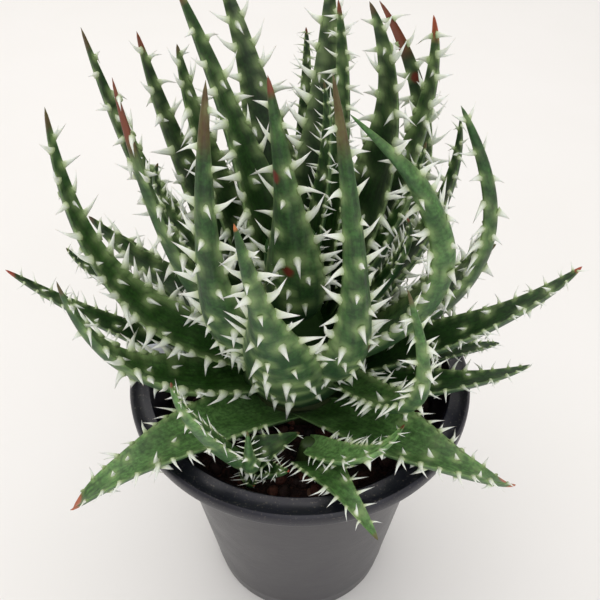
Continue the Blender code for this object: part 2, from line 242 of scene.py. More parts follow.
class AloeSkin(Finish):
    """Leaf epidermis under a thin wax bloom: satin, faintly streaked along the leaf.

    It reads the leaf's attributes: tone, outer, under, halo, blush, hue, scar, across, along.
    """

    STREAK_SQUEEZE = 0.06  # a streak's width as a share of its length

    def __init__(self) -> None:
        """Build the skin."""
        super().__init__("aloe_leaf_wax_bloom", 0.46, 1.45)
        across, along = self.attribute("across"), self.attribute("along")
        flow = self.add("CombineXYZ", {0: across, 1: self.math("MULTIPLY", along, self.STREAK_SQUEEZE)})
        # streaks about 1.2 mm wide run along the leaf, as the veins do
        streak = self.noise(1.2, 3.0, flow.outputs[0])
        mottle = self.noise(7.0, 5.0)
        # painted light: the tone gives leaves in shade the dark end of this ramp and sunlit leaves the
        # light end
        shade = self.math("ADD", self.math("MULTIPLY", mottle, 0.4), self.attribute("tone"))
        shade = self.math("SUBTRACT", shade, 0.2, clamp=True)
        colour = self.ramp(
            shade, (0.0, "0d1f07"), (0.35, "1a3711"), (0.65, "2e501d"), (1.0, "759562")
        )
        # the outer face carries more bloom, which greys the green
        bloom = self.ramp(mottle, (0.3, 0.1), (0.7, 0.28))
        veil = self.math("MULTIPLY", self.attribute("outer"), bloom)
        colour = self.mix(veil, colour, "5b8553")
        veins = self.ramp(streak, (0.3, "3c5c34"), (0.7, "a3bf92"))
        colour = self.mix(0.7, colour, veins, "SOFT_LIGHT")
        fleck = self.ramp(self.noise(1.3, 5.0), (0.36, "8c8c8c"), (0.64, "e0e0e0"))
        colour = self.mix(0.75, colour, fleck, "OVERLAY")
        # painted shade: faces that look down are darkened towards a blue-grey
        shaded = self.math("MULTIPLY", self.attribute("under"), 0.5)
        colour = self.mix(shaded, colour, "304c3c")
        colour = self.mix(self.attribute("halo"), colour, "a3bc7c")
        tip = self.ramp(
            self.attribute("hue"), (0.0, "5c5236"), (0.35, "74402c"), (0.7, "9e4430"), (1.0, "c07a3e")
        )
        blush = self.attribute("blush")
        blush = self.math("ADD", blush, self.math("MULTIPLY", blush, streak))
        colour = self.mix(self.math("MULTIPLY", blush, 0.72, clamp=True), colour, tip)
        scab = self.ramp(self.attribute("scar"), (0.25, 0.0), (0.6, 1.0))
        colour = self.mix(scab, colour, "6f2c1e")
        self.wire("Base Color", colour)
        self.wire("Roughness", self.ramp(mottle, (0.3, 0.40), (0.7, 0.56)))
        self.scatter(0.06, (0.5, 1.0, 0.3), 1.2)
        grain = self.noise(0.9, 2.0)
        self.bump(self.math("ADD", streak, self.math("MULTIPLY", grain, 0.4)), 0.16)


class ToothHorn(Finish):
    """Horny tooth: hard, cream-white, a little translucent, green where it leaves the skin."""

    def __init__(self) -> None:
        """Build the horn."""
        super().__init__("aloe_tooth_horn", 0.36, 1.5)
        rise = self.attribute("horn")
        cloud = self.noise(2.5, 2.0)
        colour = self.ramp(
            rise, (0.0, "93a970"), (0.12, "bac79f"), (0.3, "dde3d5"), (0.85, "f0f2ed"), (1.0, "e2d8be")
        )
        colour = self.mix(self.ramp(cloud, (0.4, 0.0), (0.8, 0.35)), colour, "cdd2bd")
        self.wire("Base Color", colour)
        self.wire("Roughness", self.ramp(cloud, (0.3, 0.32), (0.7, 0.48)))
        self.scatter(0.2, (1.0, 0.9, 0.7), 1.0)
        self.bump(self.noise(0.5, 2.0), 0.04)


class LeafBaseSkin(Finish):
    """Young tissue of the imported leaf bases: olive brown below, green towards the top."""

    GREENING = 44.0  # height over the growing medium in which it turns green

    def __init__(self) -> None:
        """Build the tissue."""
        super().__init__("aloe_leaf_base_tissue", 0.5, 1.45)
        rise = self.between(self.height(), SOIL_TOP, SOIL_TOP + self.GREENING)
        cloud = self.noise(5.0, 4.0)
        colour = self.ramp(
            rise, (0.0, "3a3a24"), (0.25, "3c4c28"), (0.7, "2f4a25"), (1.0, "3f5f30")
        )
        clouded = self.ramp(cloud, (0.3, "35512c"), (0.7, "87a06a"))
        colour = self.mix(0.5, colour, clouded, "SOFT_LIGHT")
        self.wire("Base Color", colour)
        self.wire("Roughness", self.ramp(cloud, (0.3, 0.42), (0.7, 0.6)))
        self.bump(cloud, 0.3)


class PotPolypropylene(Finish):
    """Injection-moulded charcoal polypropylene: satin, with fine scuffs and dust on the rim."""

    # heights between which the dust on the rim and the painted reflection of the pale board below it grow
    # to full
    DUSTY = (112.0, 119.5)
    BOARD_REFLECTION = (113.5, 110.0)

    def __init__(self) -> None:
        """Build the plastic."""
        super().__init__("moulded_polypropylene_charcoal", 0.42, 1.49)
        cloud = self.noise(14.0, 5.0)
        stretched = self.add("Mapping", {"Vector": self.object_space, "Scale": (0.25, 0.25, 6.0)})
        # scuffs run round the pot, as nesting and sliding leave them
        scuff = self.noise(1.6, 3.0, stretched.outputs[0])
        colour = self.ramp(cloud, (0.25, "0f0e18"), (0.75, "171624"))
        colour = self.mix(self.ramp(scuff, (0.62, 0.0), (0.78, 0.2)), colour, "47464c")
        height = self.height()
        high = self.between(height, *self.DUSTY)
        # painted reflection: below the rim the wall is lightened towards grey, as light from the pale board
        # makes it look
        low = self.between(height, *self.BOARD_REFLECTION)
        painted_reflection = self.math("MULTIPLY", low, self.ramp(cloud, (0.2, 0.14), (0.8, 0.24)))
        colour = self.mix(painted_reflection, colour, "74716e")
        speck = self.ramp(self.noise(0.9, 4.0), (0.6, 0.0), (0.72, 1.0))
        dust = self.math("MULTIPLY", self.math("MULTIPLY", high, speck), 0.35)
        colour = self.mix(dust, colour, "8c8478")
        self.wire("Base Color", colour)
        rough = self.ramp(self.mix(0.5, cloud, scuff), (0.35, 0.28), (0.7, 0.44))
        self.wire("Roughness", rough)
        # the mould's fine spark-eroded grain, drawn at 0.5 mm so that it shows
        self.bump(self.math("ADD", self.noise(0.5, 2.0), self.math("MULTIPLY", scuff, 0.5)), 0.035)


class PeatMix(Finish):
    """Moist dark growing mix: peat crumbs with fibres, rough and without any gloss."""

    def __init__(self) -> None:
        """Build the mix."""
        super().__init__("peat_and_grit_mix", 0.92, 1.4)
        crumb = self.noise(1.4, 6.0)
        clump = self.noise(6.0, 3.0)
        colour = self.ramp(crumb, (0.32, "0f0807"), (0.5, "231310"), (0.62, "371d16"), (0.78, "5c3c2a"))
        colour = self.mix(self.ramp(clump, (0.35, 0.0), (0.7, 0.6)), colour, "24130f")
        self.wire("Base Color", colour)
        self.bump(self.math("ADD", crumb, self.math("MULTIPLY", clump, 0.5)), 0.9)


class LavaGrit(Finish):
    """Broken lava and pumice grit: dull reddish brown, pitted, each stone of its own shade."""

    def __init__(self) -> None:
        """Build the stone."""
        super().__init__("lava_grit", 0.85, 1.45)
        pits = self.noise(0.8, 4.0)
        shade = self.attribute("shade")
        colour = self.ramp(
            shade, (0.0, "1a0e0c"), (0.4, "2f1712"), (0.7, "4d2419"), (0.9, "64402e"), (1.0, "8c7663")
        )
        colour = self.mix(0.6, colour, self.ramp(pits, (0.3, "3a302c"), (0.7, "b0a49c")), "OVERLAY")
        self.wire("Base Color", colour)
        self.bump(pits, 0.35)


class LabelPolystyrene(Finish):
    """Thin blank polystyrene label: cool white, smooth, soil-stained towards its point."""

    STAINED = (122.0, 104.0)  # heights from where the stain starts to where it is full

    def __init__(self) -> None:
        """Build the plastic."""
        super().__init__("label_polystyrene_white", 0.32, 1.59)
        low = self.between(self.height(), *self.STAINED)
        smear = self.noise(4.0, 5.0)
        colour = self.ramp(smear, (0.3, "cdd0de"), (0.7, "dfe1ea"))
        stain = self.math("MULTIPLY", low, self.ramp(smear, (0.3, 0.3), (0.65, 1.0)), clamp=True)
        self.wire("Base Color", self.mix(stain, colour, "6d5748"))
        self.wire("Roughness", self.ramp(smear, (0.3, 0.28), (0.7, 0.42)))
        self.bump(self.noise(0.7, 2.0), 0.02)


class PaleBoard(Finish):
    """Matt painted board under the pot: warm white, all but even."""

    def __init__(self) -> None:
        """Build the paint."""
        super().__init__("painted_board_warm_white", 0.6, 1.45)
        cloud = self.noise(160.0, 3.0)
        self.wire("Base Color", self.ramp(cloud, (0.2, "e8e6e3"), (0.8, "ebe9e7")))
        self.bump(self.noise(2.0, 3.0), 0.03)


# ---------------------------------------------------------------- finishing a piece


def to_mesh(name: str, bm: bmesh.types.BMesh) -> bpy.types.Mesh:
    """Write a mesh in the making out under a name, and free it.

    Args:
        name: the mesh's name.
        bm: the mesh in the making.

    Returns:
        The finished mesh.
    """
    mesh = bpy.data.meshes.new(name)
    bm.to_mesh(mesh)
    bm.free()
    return mesh


def add_object(name: str, data: bpy.types.ID) -> bpy.types.Object:
    """Add an object to the scene, at the origin.

    Args:
        name: its name.
        data: its mesh, lamp or camera.

    Returns:
        The object.
    """
    made = bpy.data.objects.new(name, data)
    bpy.context.scene.collection.objects.link(made)
    return made


def grow_on(bm: bmesh.types.BMesh, end: bmesh.types.BMFace) -> bmesh.types.BMFace:
    """Extrude the end face of a rod by no length, for its corners to be moved.

    Args:
        bm: the rod's mesh.
        end: the face that it ends in.

    Returns:
        The new end face.
    """
    grown = bmesh.ops.extrude_face_region(bm, geom=[end, *end.edges, *end.verts])["geom"]
    return next(part for part in grown if isinstance(part, bmesh.types.BMFace))


def finish_piece(
    name: str, bm: bmesh.types.BMesh, finishes: list[Finish], slot: str, nodes: tuple[str, ...]
) -> bpy.types.Object:
    """Turn a millimetre mesh into a smooth piece that stands for CAD nodes.

    Args:
        name: the piece's name.
        bm: its mesh, which is freed.
        finishes: its materials, in the order of its faces' material numbers.
        slot: the record's material slot that it follows; not used.
        nodes: the CAD nodes that it stands for.

    Returns:
        The finished object, riding on the root body.
    """
    bmesh.ops.scale(bm, vec=(MM, MM, MM), verts=bm.verts)
    piece = add_object(name, to_mesh(name, bm))
    for finish in finishes:
        piece.data.materials.append(finish.material)
    piece.data.shade_smooth()
    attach(piece, ROOT_BODY)
    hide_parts(*nodes)
    LOG.info("%s: %d faces, stands for %s", name, len(piece.data.polygons), ", ".join(nodes))
    return piece


def spin_profile(
    profile: list[tuple[float, float]], segments: int, centre: tuple[float, float] = (0.0, 0.0)
) -> bmesh.types.BMesh:
    """Turn a profile into a closed solid.

    Args:
        profile: radius and height pairs, from axis to axis.
        segments: the number of steps round.
        centre: where the axis stands.

    Returns:
        The solid, with its faces pointing out.
    """
    bm = bmesh.new()
    verts = [bm.verts.new((radius, 0.0, height)) for radius, height in profile]
    edges = [bm.edges.new(pair) for pair in zip(verts, verts[1:])]
    bmesh.ops.spin(
        bm, geom=verts + edges, cent=(0, 0, 0), axis=(0, 0, 1), angle=math.tau,
        steps=segments, use_merge=True,
    )
    bmesh.ops.remove_doubles(bm, verts=bm.verts, dist=MERGE)
    bmesh.ops.recalc_face_normals(bm, faces=bm.faces)
    bmesh.ops.translate(bm, vec=(*centre, 0.0), verts=bm.verts)
    return bm


# ---------------------------------------------------------------- teeth


class SpineForm(Enum):
    """The growth forms of a tooth; the value is how far its tip sweeps, in root radii."""

    STRAIGHT = 0.4
    SWEPT = 1.6
    HOOKED = 2.8


@dataclass(frozen=True)
class Spine:
    """One tooth or prickle: where it grows, which way it points and bends, and its size."""

    root: Vector
    direction: Vector
    sweep: Vector
    length: float
    radius: float
    form: SpineForm


class SpineStamp:
    """Grows one tooth of each form, and stamps copies of them into a leaf's mesh."""

    SIDES = 7
    FLATNESS = 0.68
    SINK = 0.08  # share of its length that a tooth sits in the skin
    BEND = 1.8  # how late along its length a tooth bends
    # share of the length, and radius there as a share of the root's: a flared thorn
    TAPER = ((0.1, 0.79), (0.26, 0.6), (0.5, 0.4), (0.77, 0.2))

    def __init__(self) -> None:
        """Grow the patterns."""
        self.patterns = {form: self.grow(form) for form in SpineForm}

    def grow(self, form: SpineForm) -> bpy.types.Mesh:
        """Extrude a thorn of unit length and root radius, bent towards +X.

        Args:
            form: how far it bends.

        Returns:
            The pattern, with the rise above its root in the attribute "horn".
        """
        bm = bmesh.new()
        rise = bm.verts.layers.float.new("horn")
        bmesh.ops.create_circle(bm, cap_ends=True, segments=self.SIDES, radius=1.0)
        end = next(iter(bm.faces))
        for share, radius in self.TAPER:
            end = grow_on(bm, end)
            middle = end.calc_center_median()
            target = Vector((form.value * share**self.BEND, 0.0, share))
            size = radius / (end.verts[0].co - middle).length
            for vert in end.verts:
                vert.co = target + (vert.co - middle) * size
                vert[rise] = share
        bmesh.ops.pointmerge(bm, verts=end.verts[:], merge_co=Vector((form.value, 0.0, 1.0)))
        bm.verts.ensure_lookup_table()
        max(bm.verts, key=lambda vert: vert.co.z)[rise] = 1.0
        bmesh.ops.recalc_face_normals(bm, faces=bm.faces)
        for face in bm.faces:
            face.material_index = 1
        return to_mesh(f"thorn_{form.name.lower()}", bm)

    def stamp(self, bm: bmesh.types.BMesh, spine: Spine) -> None:
        """Add one tooth to a mesh.

        Args:
            bm: the leaf's mesh.
            spine: the tooth.
        """
        before = len(bm.verts)
        bm.from_mesh(self.patterns[spine.form])
        bm.verts.ensure_lookup_table()
        new = bm.verts[before:]
        z = spine.direction.normalized()
        x = (spine.sweep - spine.sweep.dot(z) * z).normalized()
        y = z.cross(x)
        shape = Matrix((x * spine.radius, y * spine.radius * self.FLATNESS, z * spine.length))
        root = Matrix.Translation(spine.root - z * self.SINK * spine.length)
        place = root @ shape.transposed().to_4x4()
        bmesh.ops.transform(bm, matrix=place, verts=new)


# ---------------------------------------------------------------- leaves


class Tip(Enum):
    """How a leaf's tip is coloured: strength, share where it starts, and hue from brown to orange."""

    GREEN = (0.0, 0.99, 0.0)
    DRY = (0.7, 0.95, 0.1)
    LONG_DRY = (0.45, 0.88, 0.3)
    BROWN = (0.9, 0.94, 0.4)
    CUT = (1.0, 0.92, 0.8)
    RED = (1.0, 0.95, 0.7)
    LONG_RED = (0.95, 0.84, 0.38)
    ORANGE_POINT = (1.0, 0.975, 0.9)
    LONG_ORANGE = (0.95, 0.88, 0.75)


@dataclass(frozen=True)
class Head:
    """A growing point: the blunt cone of packed leaf bases that carries the leaves."""

    name: str
    centre: tuple[float, float]
    foot_radius: float
    top_radius: float
    height: float

    STEPS = 14  # rings up its side
    SEGMENTS = 48  # corners round it
    CREST = 0.45  # height of the rounded crown beside its radius
    CROWN_TURNS = tuple(math.pi * k / 8 for k in (1, 2, 3))
    LIFT = 0.3  # how far its underside lies over the growing medium's level
    GROOVE = 0.04  # depth of the grooves between leaf bases beside the foot's radius

    def radius(self, z: float) -> float:
        """Return the cone's radius at height z."""
        share = min(max((z - SOIL_TOP) / self.height, 0.0), 1.0)
        return self.foot_radius + (self.top_radius - self.foot_radius) * share

    def normal(self, heading: float) -> Vector:
        """Return the outward normal of the cone.

        Args:
            heading: the side it is wanted on, in degrees.

        Returns:
            The normal, of unit length.
        """
        turn = math.radians(heading)
        slope = (self.foot_radius - self.top_radius) / self.height
        return Vector((math.cos(turn), math.sin(turn), slope)).normalized()

    def spiral(self, heading: float, rise: float) -> float:
        """Return how high the crossing spirals of leaf bases stand at a place, from -1 to 1."""
        return math.sin(5 * heading + 9 * rise) * math.sin(8 * heading - 14 * rise)

    def build(self, finish: Finish) -> bpy.types.Object:
        """Build the head with the low spiral ridges that its leaf bases leave.

        Args:
            finish: the tissue it is dressed in.

        Returns:
            The finished piece.
        """
        top = SOIL_TOP + self.height
        crest = self.CREST * self.top_radius
        heights = [SOIL_TOP + self.height * i / self.STEPS for i in range(self.STEPS + 1)]
        side = [(self.radius(z), z) for z in heights]
        crown = [
            (self.top_radius * math.cos(a), top + crest * math.sin(a)) for a in self.CROWN_TURNS
        ]
        floor = SOIL_TOP + self.LIFT
        profile = [(0.0, floor), (side[0][0] - 0.5, floor), *side, *crown, (0.0, top + crest)]
        bm = spin_profile(profile, self.SEGMENTS, self.centre)
        for vert in bm.verts:
            offset = vert.co - Vector((*self.centre, vert.co.z))
            rise = (vert.co.z - SOIL_TOP) / self.height
            if offset.length < 0.5 or rise < 0.02:
                continue
            ridge = self.spiral(math.atan2(offset.y, offset.x), rise)
            groove = 0.5 - 0.5 * ridge
            vert.co -= offset.normalized() * self.GROOVE * self.foot_radius * groove
        return finish_piece(f"packed_{self.name}", bm, [finish], "leaf_base", (self.name,))


@dataclass(frozen=True)
class LeafPlan:
    """One leaf: where it is seated, the point its middle arches through, its tip and size.

    tone is partly the leaf's own colour and partly painted light: it runs from the deep green painted on
    leaves in shade to the light bloom of sunlit ones, prickles is how closely they stand beside those of a
    middling leaf, scars are places along and across the leaf, the last number telling the outer face,
    facing is the heading that its outer face looks to, if not straight out, root_width the
    width at the seat as a share of the whole, row the prickles abreast under its bend, and
    teeth the size of its teeth beside those of a big leaf.
    """

    name: str
    head: Head
    heading: float
    seat_height: float
    middle: tuple[float, float, float]
    tip: tuple[float, float, float]
    width: float
    thickness: float
    tone: float
    tip_colour: Tip
    prickles: float
    scars: tuple[tuple[float, float, int], ...] = ()
    facing: float | None = None
    root_width: float = 0.74
    row: int = 2
    teeth: float = 1.0


MAIN = Head("main_head", (-2.0, 4.0), 23.0, 7.0, 44.0)
WEST = Head("west_offset_head", (-17.0, -40.0), 5.0, 3.0, 12.0)
SOUTH = Head("south_offset_head", (3.0, -36.0), 5.0, 3.0, 12.0)

# The middle points of twenty leaves began as a least-squares fit by another program, rounded
# to half a millimetre, and not as a choice by eye. Twelve stand as it gave them: inner_leaf_01
# to 04, 06, 07 and 09 to 11, and middle_leaf_09, 10 and 12. The other eight, middle_leaf_01,
# 03 to 05, 07, 08, 11 and 13, have been moved since.
LEAVES = (
    # outermost leaves, low over the rim, clockwise from the west
    LeafPlan("outer_leaf_01", MAIN, 185, 112, (-70, 7, 134), (-98.5, -3, 171), 16, 5,
             0.45, Tip.RED, 1.0, teeth=0.7),
    LeafPlan("outer_leaf_02", MAIN, 170, 119, (-67, 18, 142), (-85, 18, 164), 12, 4,
             0.45, Tip.DRY, 0.8, teeth=0.65),
    LeafPlan("outer_leaf_03", MAIN, 156, 112, (-54, 34, 135), (-77.5, 42, 155), 20, 6, 0.35, Tip.DRY, 0.8),
    LeafPlan("outer_leaf_04", MAIN, 130, 118, (-40, 46, 140), (-58, 66, 158), 22, 6, 0.35, Tip.BROWN, 0.8),
    LeafPlan("outer_leaf_05", MAIN, 102, 112, (-14, 54, 133), (-22, 76, 156), 22, 6, 0.3, Tip.DRY, 0.8),
    LeafPlan("outer_leaf_06", MAIN, 73, 118, (16, 55, 139), (24, 76, 157), 22, 6, 0.35, Tip.RED, 0.8),
    LeafPlan("outer_leaf_07", MAIN, 49, 112, (42, 44, 134), (62, 60, 143), 22, 6, 0.3, Tip.DRY, 0.8),
    LeafPlan("outer_leaf_08", MAIN, 18.5, 112, (53.5, 28, 132.5), (76, 32, 155), 18, 6, 0.35, Tip.DRY, 0.8),
    LeafPlan("outer_leaf_09", MAIN, 351.5, 119, (64, -4.6, 146.4), (95.5, 0, 170), 22, 6,
             0.4, Tip.RED, 1.0, teeth=0.75),
    LeafPlan("outer_leaf_10", MAIN, 1, 112, (57, 0, 128), (75, 1, 132), 12, 4,
             0.45, Tip.GREEN, 0.8, teeth=0.6),
    LeafPlan("outer_leaf_11", MAIN, 340, 112.8, (53, -16.2, 128.3), (84, -11, 133), 21, 5,
             0.5, Tip.GREEN, 0.9, root_width=1.0, teeth=0.75),
    LeafPlan("outer_leaf_12", MAIN, 306, 112, (43, -45, 126), (70, -53, 120), 27, 6,
             0.78, Tip.CUT, 1.5, root_width=1.05, teeth=0.8),
    LeafPlan("outer_leaf_13", MAIN, 242, 112, (-47, -44, 126), (-74, -60, 117), 25, 6,
             0.82, Tip.CUT, 1.5, root_width=1.1, teeth=0.8),
    LeafPlan("outer_leaf_14", MAIN, 202, 119, (-56, -20, 140), (-70, -30, 189), 26, 6,
             0.68, Tip.DRY, 0.9, root_width=1.0),
    # middle leaves
    LeafPlan("middle_leaf_01", MAIN, 190, 126, (-63, 1.5, 158.5), (-72, 0, 228), 22, 6,
             0.6, Tip.DRY, 0.9, facing=155),
    LeafPlan("middle_leaf_02", MAIN, 147, 125, (-53, 21, 148), (-74, 18, 178), 22, 6, 0.45, Tip.DRY, 0.9),
    LeafPlan("middle_leaf_03", MAIN, 194, 132, (-37, -7, 172), (-50, -5, 239), 21, 6,
             0.55, Tip.LONG_RED, 0.8),
    LeafPlan("middle_leaf_04", MAIN, 167, 132.5, (-47.5, 22, 173), (-65, 25, 241), 20, 5,
             0.4, Tip.DRY, 0.9),
    LeafPlan("middle_leaf_05", MAIN, 128.5, 132, (-37, 30, 179), (-51, 35, 236), 26, 6,
             0.3, Tip.BROWN, 0.9, ((0.5, 0.6, 0),)),
    LeafPlan("middle_leaf_06", MAIN, 173, 138, (-42.5, 11.5, 177), (-46, 15, 201), 11, 4,
             0.4, Tip.DRY, 0.8, teeth=0.75),
    LeafPlan("middle_leaf_07", MAIN, 264, 118, (-9, -38.6, 172.5), (-16, -45, 220), 33, 7,
             0.55, Tip.ORANGE_POINT, 1.15, root_width=1.1, row=4),
    LeafPlan("middle_leaf_08", MAIN, 228.5, 138, (-25.3, -26.5, 173.1), (-23, -20, 245), 26, 6,
             0.45, Tip.LONG_DRY, 1.1, facing=262),
    LeafPlan("middle_leaf_09", MAIN, 306, 132, (17.5, -28.5, 167.5), (8, -18, 246), 26, 7,
             0.55, Tip.LONG_DRY, 1.0, ((0.42, -0.7, 1),), root_width=1.0, row=3),
    LeafPlan("middle_leaf_10", MAIN, 350, 125, (45.5, -11, 178.5), (13, -12, 232), 22, 7,
             0.75, Tip.GREEN, 0.7),
    LeafPlan("middle_leaf_11", MAIN, 24, 119, (63, 12.5, 160), (49, 15, 221), 24, 6,
             0.42, Tip.GREEN, 0.8, facing=335),
    LeafPlan("middle_leaf_12", MAIN, 30, 125, (45.5, 19, 171), (52, 25, 212), 14, 5,
             0.4, Tip.GREEN, 0.8, teeth=0.8),
    LeafPlan("middle_leaf_13", MAIN, 358, 138, (31, 10.5, 176.5), (41, 20, 206), 11, 5,
             0.45, Tip.DRY, 0.8, ((0.5, 0.1, 1),), teeth=0.75),
    LeafPlan("middle_leaf_14", MAIN, 0, 131, (32, -0.5, 169), (34, 0, 190), 12, 4,
             0.4, Tip.BROWN, 0.8, teeth=0.65),
    LeafPlan("middle_leaf_15", MAIN, 324.3, 125.8, (36.3, -39.4, 146.5), (29, -40, 195), 14.5, 5,
             0.75, Tip.DRY, 1.0, teeth=0.85),
    # innermost leaves, standing round the heart
    LeafPlan("inner_leaf_01", MAIN, 133, 138, (-30, 24, 192.5), (-38, 30, 234), 18, 5, 0.4, Tip.DRY, 0.9),
    LeafPlan("inner_leaf_02", MAIN, 120, 144, (-18, 19.5, 198), (-35, 20, 256), 25, 6, 0.5, Tip.BROWN, 0.8),
    LeafPlan("inner_leaf_03", MAIN, 96, 132, (-13.5, 38, 204), (-26, 45, 252), 27, 6, 0.28, Tip.DRY, 0.8),
    LeafPlan("inner_leaf_04", MAIN, 262, 150, (-3.5, -2.5, 186), (-9, 3, 236), 26, 6,
             0.5, Tip.BROWN, 1.0, ((0.34, 0.05, 1), (0.72, 0.5, 1))),
    LeafPlan("inner_leaf_05", MAIN, 101, 118, (1, 46, 192), (2, 52, 231), 10, 4,
             0.3, Tip.BROWN, 0.9, teeth=0.65),
    LeafPlan("inner_leaf_06", MAIN, 86.5, 138, (7.5, 30, 207.5), (9, 40, 251), 20, 5, 0.35, Tip.BROWN, 0.8),
    LeafPlan("inner_leaf_07", MAIN, 30, 144, (13.5, 18.5, 203.5), (11, 25, 249), 14, 5,
             0.5, Tip.BROWN, 0.8, teeth=0.8),
    LeafPlan("inner_leaf_08", MAIN, 66, 150, (8, 12, 198), (7, 12, 230), 10, 4,
             0.45, Tip.DRY, 0.8, teeth=0.65),
    LeafPlan("inner_leaf_09", MAIN, 50, 138, (28.5, 27, 198), (21, 35, 245), 28, 6, 0.28, Tip.DRY, 0.8),
    LeafPlan("inner_leaf_10", MAIN, 56, 125, (44.5, 41.5, 179.5), (25, 45, 242), 18, 6,
             0.3, Tip.LONG_RED, 0.7, ((0.8, 0.2, 0),)),
    LeafPlan("inner_leaf_11", MAIN, 38, 132, (38.5, 29.5, 196), (41, 35, 241), 15, 5,
             0.45, Tip.LONG_ORANGE, 0.8, ((0.72, 0.2, 1),)),
    LeafPlan("heart_leaf_1", MAIN, 345, 150, (6, 2, 168), (4, 2, 184), 9, 4,
             0.6, Tip.GREEN, 0.6, teeth=0.6),
    LeafPlan("heart_leaf_2", MAIN, 160, 150, (-10.5, 4, 167), (-10.5, 3, 180), 9, 4,
             0.6, Tip.GREEN, 0.6, teeth=0.6),
    # leaves of the offsets
    LeafPlan("west_offset_leaf_1", WEST, 205, 114, (-31.5, -51.5, 148.5), (-37, -50, 168), 14, 4,
             0.85, Tip.BROWN, 1.0, teeth=0.65),
    LeafPlan("west_offset_leaf_2", WEST, 292, 116.3, (-16, -50, 128), (-16, -52, 148), 8.5, 4,
             0.8, Tip.DRY, 1.0, teeth=0.6),
    LeafPlan("west_offset_leaf_3", WEST, 30, 116, (-9, -37, 120), (0, -33, 122), 16, 4,
             0.5, Tip.DRY, 1.0, teeth=0.65),
    LeafPlan("west_offset_leaf_4", WEST, 338, 111.5, (-8.5, -47, 119), (-3.5, -50.5, 125), 9.5, 4,
             0.5, Tip.RED, 1.2, teeth=0.55),
    LeafPlan("west_offset_leaf_5", WEST, 255, 110.5, (-17.5, -48, 113.5), (-15, -52.3, 119), 8, 3,
             0.6, Tip.BROWN, 1.2, teeth=0.55),
    LeafPlan("south_offset_leaf_1", SOUTH, 285, 112, (11.2, -54, 123.5), (24, -73, 121), 18, 5,
             0.8, Tip.DRY, 1.1, teeth=0.7),
    LeafPlan("south_offset_leaf_2", SOUTH, 354, 119.3, (20.5, -51.3, 134.8), (33.5, -43.5, 140.5), 12, 4,
             1.0, Tip.BROWN, 1.2, teeth=0.65),
)


